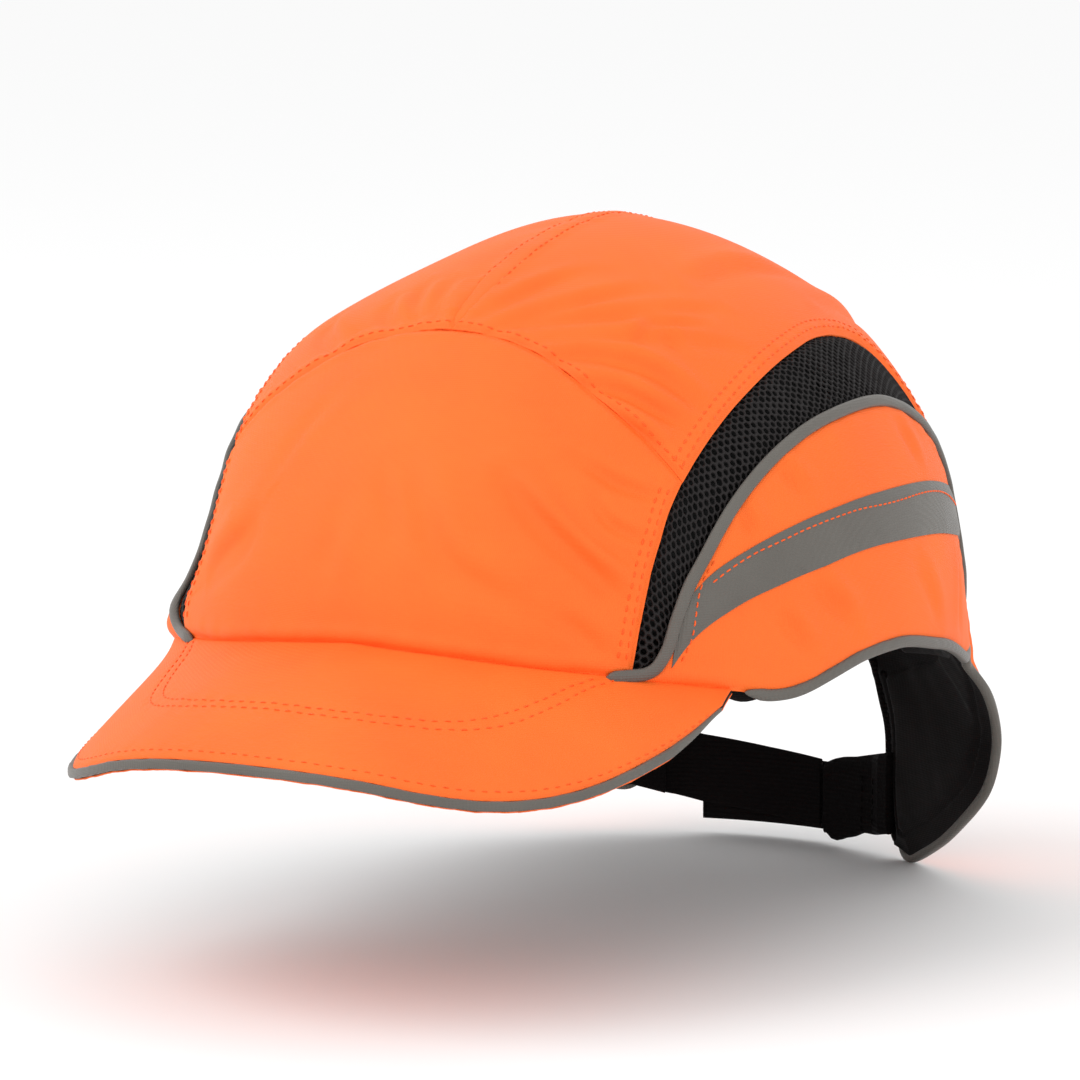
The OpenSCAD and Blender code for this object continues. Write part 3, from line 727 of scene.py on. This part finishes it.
# ---------------------------------------------------------------- peak
PEAK_DROP = np.array([3.2, 2.6, 0.9, -1.8, -3.9, -4.4, -3, 0.4, 5, 10.8])[:, None]
PEAK_T = 4.2


def peak_edge(u):
    t = np.radians(86 * np.abs(u))
    half = np.where(u < 0, 3.6 * u**6 - 77.6, 79)
    drop = along(PEAK_DROP, np.degrees(t) / 90)[..., 0]
    return np.stack([half * np.sin(t) ** 0.8, -58 - 102.5 * np.cos(t) ** 0.8, drop], -1)


def peak_root(u):
    spots = np.stack([-90 + 55.5 * u, band_low(55.5 * u) + 1.2], -1)
    return on_cap(plan(spots.reshape(-1, 2)).reshape(*u.shape, 3), -1.4)


def peak_at(u, v, down=0.0):
    """A point of the peak: u from the right end to the left, v from the brow seam to the rim."""
    u, v = np.broadcast_arrays(np.asarray(u, float), np.asarray(v, float))
    p = peak_root(u) * (1 - v[..., None]) + peak_edge(u) * v[..., None]
    crown, hang = 9 * v * (1 - v) * (1 - 0.9 * u * u), 5.5 * v * np.maximum(0, -u) ** 1.5
    p[..., 2] += crown - down - hang - 0.5 * v * (1 - u)
    return p


def thinned(u):
    """The share of its thickness that the peak keeps towards its two rear ends."""
    t = np.clip((np.abs(u) - 0.86) / 0.14, 0, 1)
    return 1 - 0.62 * t * t * (3 - 2 * t)


def peak_cover(name, node, near_side, far_side, lift):
    """One fabric cover of the peak, rolled over at the rim. lift puckers it beside its stitching."""
    u, v = np.linspace(-1, 1, 241)[:, None], clustered(70)[None, :]
    round_off = 1.0 * (1 - np.sqrt(np.clip(1 - np.clip((v - 0.965) / 0.035, 0, 1) ** 2, 0, 1)))
    tuck = 0.5 * bell(v * 60, 1.5)
    sign = np.sign(far_side - near_side)
    down = near_side + sign * (round_off + tuck) - lift(u, v)
    outer, inner = peak_at(u, v, down * thinned(u)), peak_at(u, v, far_side * thinned(u) + 0 * v)
    obj = new_mesh(name, *closed_sheet(outer, inner, far_side < near_side), ORANGE, slot="hi_vis_fabric")
    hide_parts(node)
    return obj


PEAK_ROWS = [
    np.array([(-0.70, 0.06), (-0.64, 0.17), (-0.58, 0.32), (-0.51, 0.46), (-0.44, 0.55), (-0.34, 0.61),
              (-0.18, 0.65), (0, 0.655), (0.18, 0.65), (0.34, 0.61), (0.44, 0.55), (0.51, 0.46), (0.58, 0.32),
              (0.64, 0.17), (0.70, 0.06)]),
    np.array([(-0.66, 0.05), (-0.60, 0.15), (-0.54, 0.29), (-0.47, 0.42), (-0.40, 0.51), (-0.31, 0.565),
              (-0.16, 0.605), (0, 0.61), (0.16, 0.605), (0.31, 0.565), (0.40, 0.51), (0.47, 0.42),
              (0.54, 0.29), (0.60, 0.15), (0.66, 0.05)])]


def peak():
    def sewn(u, v):
        spot = peak_at(u, v)
        out = 0.10 * waves(1.3 * spot[..., 0] + spot[..., 1], 3, 26.0) - 0.08 * bell((v - 0.965) * 90, 1.5)
        for row in PEAK_ROWS:
            line = stretch(row, n=60)
            d, at = nearest(spot, peak_at(line[:, 0], line[:, 1]))
            out = out - 0.28 * bell(d, 0.9) + 0.10 * waves(at, 5, 2.4) * bell(d - 1.5, 1.8)
        return out + 0.10 * waves(300 * u + 0 * v, 8, 3.0) * bell((v - 0.95) * 90, 3.0)

    top = peak_cover("peak_cover", "peak_top_cover", 0.0, 0.8, sewn)
    peak_cover("peak_lower_cover", "peak_under_cover", PEAK_T + 0.1, PEAK_T - 0.8,
               lambda u, v: -0.12 * waves(240 * u + 0 * v, 12, 3.4) * bell((v - 1) * 90, 4.0))
    u, v = np.linspace(-1, 1, 121)[:, None], np.linspace(0.01, 0.975, 40)[None, :]
    faces_of_board = closed_sheet(peak_at(u, v, 1.0 * thinned(u)), peak_at(u, v, 3.2 * thinned(u)))
    board = new_mesh("peak_board", *faces_of_board, PLASTIC, slot="peak_board")
    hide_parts("peak_core")
    tree, up = tree_of([top]), np.array([0, 0, 1.0])
    for k, row in enumerate(PEAK_ROWS):
        line = stretch(row, n=200)
        p = peak_at(line[:, 0], line[:, 1])
        stitches(f"peak_stitch_{k}", p, 0 * p + up, tree, pitch=3.0, long=2.1)
    u = np.linspace(-0.97, 0.97, 300)
    p = peak_at(u, 0.965)
    stitches("peak_rim_stitch", p, 0 * p + up, tree, pitch=3.0, long=2.0, radius=0.13)
    u = np.linspace(-0.985, 0.999, 400)
    edge = peak_at(u, 1.0, thinned(u) * (2.05 + 0.10 * waves(200 * u, 4, 5.0)))
    out = unit(np.cross(np.gradient(edge, axis=0), up))
    size = oval(0.95, 1.12, (0.25, 0), square=0.55)
    obj = new_mesh("peak_edge_piping", *swept(edge + 0.1 * out, 0 * edge + up, size, 1.2, thinned(u)), GREY,
                   slot="reflective_piping")
    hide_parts("peak_piping")


# ---------------------------------------------------------------- strap
STRAP_H = 18.2
OUTER_LOW = [(82, -56.8), (105, -56.4)]
INNER_LOW = [(81, -56), (93, -53.8), (104.5, -51.3), (110, -49.2), (116, -46.4)]
STUB_LOW = [(66, -53.4), (69.5, -54.6), (76, -57), (82, -58.2)]


def webbing(name, a0, a1, low, outer, thick, body, node, height=STRAP_H, extra=0.0, material=WEBBING,
            slot="black_webbing", edge=None):
    """A length of flat webbing round the nape. outer gives its outside offset along its bearings."""
    a = np.linspace(a0, a1, 90)[:, None]
    w = clustered(30)[None, :]
    low = np.array(low, float)
    z0 = np.interp(a, low[:, 0], low[:, 1]) - extra
    z1 = z0 + (height(a) if callable(height) else height) + 2 * extra
    if edge is not None:
        z0 = z0 + edge(a)
    z = z0 * (1 - w) + z1 * w
    r, t = ring(z), np.radians(a + 0 * z)
    q = np.stack([r * np.cos(t), r * np.sin(t), 0 * z], -1)
    rib = 0.05 * np.sin(2 * np.pi * w * 9) - 0.25 * thick * (2 * w - 1) ** 12
    off = outer(a) if callable(outer) else outer + 0 * a
    sheet = closed_sheet(on_cap(q, off + rib), on_cap(q, off - thick - rib))
    obj = new_mesh(name, *sheet, material, body=body, slot=slot, slumps=False)
    if node:
        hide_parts(node)
    return obj


def strap():
    """Two lengths of webbing that overlap at the nape, with touch tape between them."""
    outer = webbing("strap_outer_web", 81.0, 104.8, OUTER_LOW, 2.6, 1.2, None, "strap_outer")
    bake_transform(outer)
    webbing("hook_tape", 88, 104, OUTER_LOW, 1.3, 0.8, "strap_left_half", "hook_patch", extra=-1)
    inner = webbing("strap_inner_web", 83.2, 112.5, INNER_LOW,
                    lambda a: -0.6 - 2.6 * np.clip((a - 109) / 3.5, 0, 1), 1.2, None, "strap_inner")
    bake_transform(inner)
    webbing("pile_tape", 84, 104, INNER_LOW, 0.15, 0.65, "strap_right_half", "pile_patch", extra=-1)

    def frayed(a):
        return 0.9 * bell(a - 73.5, 2.0) - 0.7 * bell(a - 79.2, 1.2) + 1.4 * np.clip((a - 80.6) / 1.0, 0, 1)

    stub = webbing("strap_stub_web_left", 65.5, 82.0, STUB_LOW,
                   lambda a: -0.2 - 2.0 * np.clip((71.0 - a) / 3.0, 0, 1), 3.0, "cap", "strap_stub_left",
                   height=lambda a: 21.6 - 1.6 * np.clip((a - 78) / 4, 0, 1) ** 2, edge=frayed)
    webbing("strap_stub_web_right", 110.6, 117, INNER_LOW,
            lambda a: -3.0 - 1.2 * np.clip((a - 111) / 4, 0, 1), 1.4, "cap", "strap_stub_right")
    tree = tree_of([stub])
    z = np.linspace(-55, -37.5, 60)
    for k, a in enumerate((70.6, 73.6)):
        q = plan([(a - 0.4 * (i / 60), h) for i, h in enumerate(z)])
        stitches(f"stub_stitch_{k}", on_cap(q, -5), -outward(q), tree, material=WEBBING, slot="black_webbing",
                 radius=0.3, slumps=False)


# ---------------------------------------------------------------- inside the cap
def shell():
    """The smooth hard shell with its vent slots."""
    nt, nr = 192, 66
    i, j = np.arange(nt)[:, None], np.arange(nr + 1)[None, :]
    d = i * 360 / nt
    low = ring(np.interp(np.minimum(d, 360 - d), SHELL_LOW[:, 0], SHELL_LOW[:, 1]))
    s = low * (1 - j / nr) + 0.004 * j / nr
    a = np.radians(d - 90)
    q = np.stack([s * np.cos(a), s * np.sin(a), 0 * s], -1)

    def face(i, j):
        return [((i + x) % nt) * (nr + 1) + j + y for x, y in ((0, 0), (0, 1), (1, 1), (1, 0))]

    def slot(i, j):
        x, y = min(i, nt - 1 - i), j * 11 / nr
        long = 3 <= y < 5 and any(4 * k + 0.5 <= x < 4 * k + 3.5 for k in (11, 13, 15))
        return long or (7 <= y < 8 and any(4 * k <= x < 4 * k + 4 for k in (4, 20)))

    cells = [(i, j) for i in range(nt) for j in range(nr) if not slot(i, j)]
    held = set(cells)
    n = nt * (nr + 1)
    faces = []
    for i, j in cells:
        f = face(i, j)
        faces += [f, [x + n for x in f[::-1]]]
        sides = [((i - 1) % nt, j, 0, 1), (i, j + 1, 1, 2), ((i + 1) % nt, j, 2, 3), (i, j - 1, 3, 0)]
        for a_, b_, p, r in sides:
            if (a_, b_) not in held and b_ < nr:
                faces.append([f[r], f[p], f[p] + n, f[r] + n])
    verts = np.concatenate([on_cap(q, -2.4).reshape(-1, 3), on_cap(q, -4.0).reshape(-1, 3)])
    faces.append([i * (nr + 1) + nr for i in range(nt)])
    faces.append([n + i * (nr + 1) + nr for i in range(nt)][::-1])
    obj = new_mesh("shell_dome", verts, faces, PLASTIC, slot="shell_plastic")
    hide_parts("hard_shell")


def cushion(name, node, low, high):
    """A foam pad with rounded corners and a crowned face, stuck inside the shell."""
    n = 36
    x = np.linspace(-1, 1, n + 1)
    gx, gy = np.meshgrid(x, x, indexing="ij")
    ux, uy = gx * np.sqrt(1 - 0.36 * gy**2), gy * np.sqrt(1 - 0.36 * gx**2)
    q = net(low, high, np.array([low[0], high[0]]), np.array([low[-1], high[-1]]), (ux + 1) / 2, (uy + 1) / 2)
    rim = np.clip(1 - np.maximum(abs(gx), abs(gy)), 0, 1)
    swell = np.sqrt(np.clip(1 - (1 - np.clip(rim / 0.28, 0, 1)) ** 2, 0, 1))
    outer, inner = on_cap(q, -4.2 - 0.5 * (1 - swell)), on_cap(q, -5.2 - 3.9 * swell)
    obj = new_mesh(name, *closed_sheet(outer, inner), FOAM, slot="foam")
    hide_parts(node)


# Each foam pad: its bearings and heights
PADS = [("front", -114, -66, 50, 72), ("left", -18, 26, 50, 70), ("right", 154, 198, 50, 70),
        ("rear", 68, 112, 44, 68)]


def pads():
    for name, a0, a1, z0, z1 in PADS:
        a = np.linspace(a0, a1, 7)
        cushion(f"foam_{name}", f"pad_{name}", plan([(x, z0) for x in a]), plan([(x, z1) for x in a]))
    side = np.array([(0.2, -0.24, 0), (0.24, 0, 0), (0.2, 0.24, 0)])
    cushion("foam_crown", "pad_crown", side, side * [-1, 1, 1])


def head_band():
    """The soft band round the head, with a rolled lower edge that sags at the temples."""
    u, w = np.linspace(-150, 150, 321)[:, None], clustered(26, 0.5)[None, :]
    sag = 3.2 * bell(abs(u) - 58, 4.5)
    low = band_low(u) + 1 - sag
    high = band_low(u) + 27
    z = low * (1 - w) + high * w
    r, a = ring(z), np.radians(-90 + u + 0 * z)
    q = np.stack([r * np.cos(a), r * np.sin(a), 0 * z], -1)
    fat = np.sqrt(np.clip(1 - (2 * w - 1) ** 6, 0, 1))
    rumple = 0.35 * waves(u * 1.9, 15, 4.5) * (1 - 0.6 * w) + 0.8 * bell(abs(u) - 57, 4.0) * (1 - w)
    seam = 0.7 * bell((w - 0.16) * 26, 0.8)
    outer, inner = on_cap(q, -4.4 - 0.5 * (1 - fat)), on_cap(q, -4.9 - (1.9 + rumple - seam) * fat)
    obj = new_mesh("head_band", *closed_sheet(outer, inner), LINING, slot="padded_lining")
    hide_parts("sweatband")


# ---------------------------------------------------------------- stage
def stage():
    scene = bpy.context.scene
    z = float(CAD_BOX[0][2]) - 0.0002
    floor = bpy.data.meshes.new("floor")
    floor.from_pydata([(-9, -9, z), (9, -9, z), (9, 9, z), (-9, 9, z)], [], [(0, 1, 2, 3)])
    obj = bpy.data.objects.new("floor", floor)
    scene.collection.objects.link(obj)
    n = Nodes("FloorWhite")
    n.shader.inputs["Base Color"].default_value = (0.95, 0.95, 0.95, 1)
    n.shader.inputs["Roughness"].default_value = 1.0
    n.shader.inputs["Specular IOR Level"].default_value = 0.0
    obj.data.materials.append(n.mat)
    world = bpy.data.worlds.new("World")
    scene.world = world
    world.use_nodes = True
    world.node_tree.nodes["Background"].inputs["Color"].default_value = (1, 1, 1, 1)
    world.node_tree.nodes["Background"].inputs["Strength"].default_value = 1.0

    def area(name, place, aim, size, power):
        light = bpy.data.lights.new(name, "AREA")
        light.shape, light.size, light.energy = "DISK", size, power
        o = bpy.data.objects.new(name, light)
        o.location = place
        o.rotation_euler = (Vector(aim) - Vector(place)).to_track_quat("-Z", "Y").to_euler()
        scene.collection.objects.link(o)

    area("Key", (-0.9, -1.0, 1.2), (0, 0, 0.03), 1.5, 11)
    area("Fill", (1.6, -0.5, 0.5), (0, 0, 0.03), 0.8, 3)

    back = Vector((0.4882, -0.8630, 0.1305))
    eye = Vector((0, 0, 0.04)) + back * 1.5
    across, upward = Vector((0.8704, 0.4924, 0.0)), Vector((-0.0643, 0.1136, 0.9914))
    aim = Vector((0, 0, 0.04)) - across * 0.00893 - upward * 0.0062
    cam = bpy.data.cameras.new("Camera")
    cam.lens, cam.sensor_width = 201.5, 36.0
    o = bpy.data.objects.new("Camera", cam)
    z = (eye - aim).normalized()
    x = Vector((0, 0, 1)).cross(z).normalized()
    m = Matrix((x, z.cross(x), z)).transposed().to_4x4()
    m.translation = eye
    o.matrix_world = m
    scene.collection.objects.link(o)
    scene.camera = o
    scene.view_settings.view_transform = "Standard"


front_panel()
shell()
for side, word in ((1, "left"), (-1, "right")):
    crown_panel(side, word)
    cover = side_panel(side, word)
    band(side, word, cover)
    _, pad = wing(side, word)
    wing_stitching(side, word, pad)
    piping(side, word)
    vent(side, word)
crown_tape()
rear_binding()
peak()
strap()
pads()
head_band()
stage()
